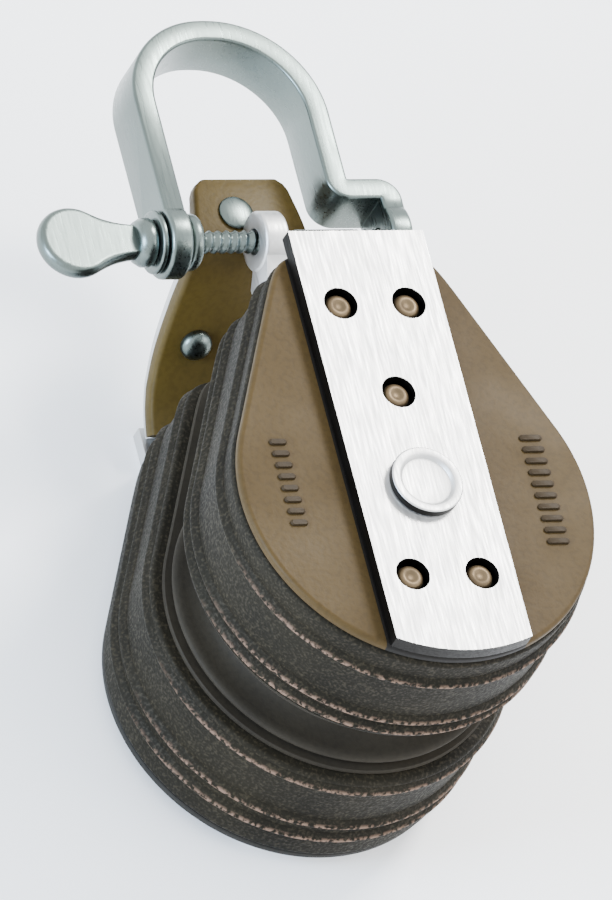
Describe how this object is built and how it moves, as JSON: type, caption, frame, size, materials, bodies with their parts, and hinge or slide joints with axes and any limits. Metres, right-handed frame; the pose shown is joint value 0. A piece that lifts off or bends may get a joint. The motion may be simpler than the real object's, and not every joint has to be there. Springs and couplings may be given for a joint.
{
  "type": "single sheave snatch block",
  "caption": "Opening pulley block for rope, with ribbed cushioned cheeks on steel straps and a bow shackle closed by a paddle-headed screw pin.",
  "frame": {"origin": "axle axis where it meets the plane of the rear strap's outer face, on which the block lies", "axes": "+Z along the axle out of the opening front cheek, +Y towards the shackle, +X to the right seen from the front"},
  "size_m": [0.084, 0.1574, 0.0819],
  "materials": {
    "stainless": "satin stainless steel",
    "polished": "polished stainless steel",
    "tan_plastic": "moulded, fine matt grain",
    "dark_plastic": "moulded, fine matt grain",
    "dark_rubber": "grained and ribbed, matt",
    "bronze": "dull bronze",
    "black_acetal": "turned, semi-matt"
  },
  "bodies": {
    "fixed_cheek": {"rear_strap": "stainless", "rear_face_plate": "dark_plastic", "rear_shell": "dark_rubber", "rear_liner": "black_acetal", "head_shoulder": "tan_plastic", "head_lug": "stainless", "latch_stud": "stainless", "rear_rivet_1": "bronze", "rear_rivet_2": "bronze", "rear_rivet_3": "bronze", "rear_rivet_4": "bronze", "rear_rivet_5": "bronze", "shoulder_dome_rivet_left": "polished", "shoulder_dome_rivet_right": "polished", "tab_disc_rivet": "polished", "axle": "stainless", "rear_spacer": "black_acetal", "rear_thrust_washer": "black_acetal"},
    "opening_cheek": {"front_strap": "stainless", "front_face_plate": "tan_plastic", "front_shell": "dark_rubber", "front_liner": "black_acetal", "front_pivot_bush": "bronze", "front_thrust_washer": "black_acetal", "front_rivet_1": "bronze", "front_rivet_2": "bronze", "front_rivet_3": "bronze", "front_rivet_4": "bronze", "front_rivet_5": "bronze"},
    "sheave_wheel": {"sheave": "black_acetal", "sheave_bush": "bronze"},
    "shackle": {"shackle_bow": "polished", "pin_spacer": "polished"},
    "pin_carrier": {"pin_washer": "polished"},
    "pin": {"screw_pin": "polished"}
  },
  "joints": [
    {"name": "cheek_opening", "type": "hinge", "parent": "fixed_cheek", "child": "opening_cheek", "pos_m": [0, 0, 0.04], "axis": [0, 0, 1], "range_deg": [0, 110]},
    {"name": "sheave_turn", "type": "hinge", "parent": "fixed_cheek", "child": "sheave_wheel", "pos_m": [0, 0, 0.04], "axis": [0, 0, 1], "continuous": true},
    {"name": "shackle_swing", "type": "hinge", "parent": "fixed_cheek", "child": "shackle", "pos_m": [0, 0.0746, 0.045], "axis": [1, 0, 0], "range_deg": [-60, 100]},
    {"name": "pin_travel", "type": "slide", "parent": "shackle", "child": "pin_carrier", "axis": [-1, 0, 0], "range_m": [0, 0.0061]},
    {"name": "pin_turn", "type": "hinge", "parent": "pin_carrier", "child": "pin", "pos_m": [0, 0.0746, 0.045], "axis": [-1, 0, 0], "range_deg": [0, 2160]}
  ],
  "couplings": [
    {"joint": "pin_travel", "follows": "pin_turn", "m_per_rad": 0.00015915}
  ]
}
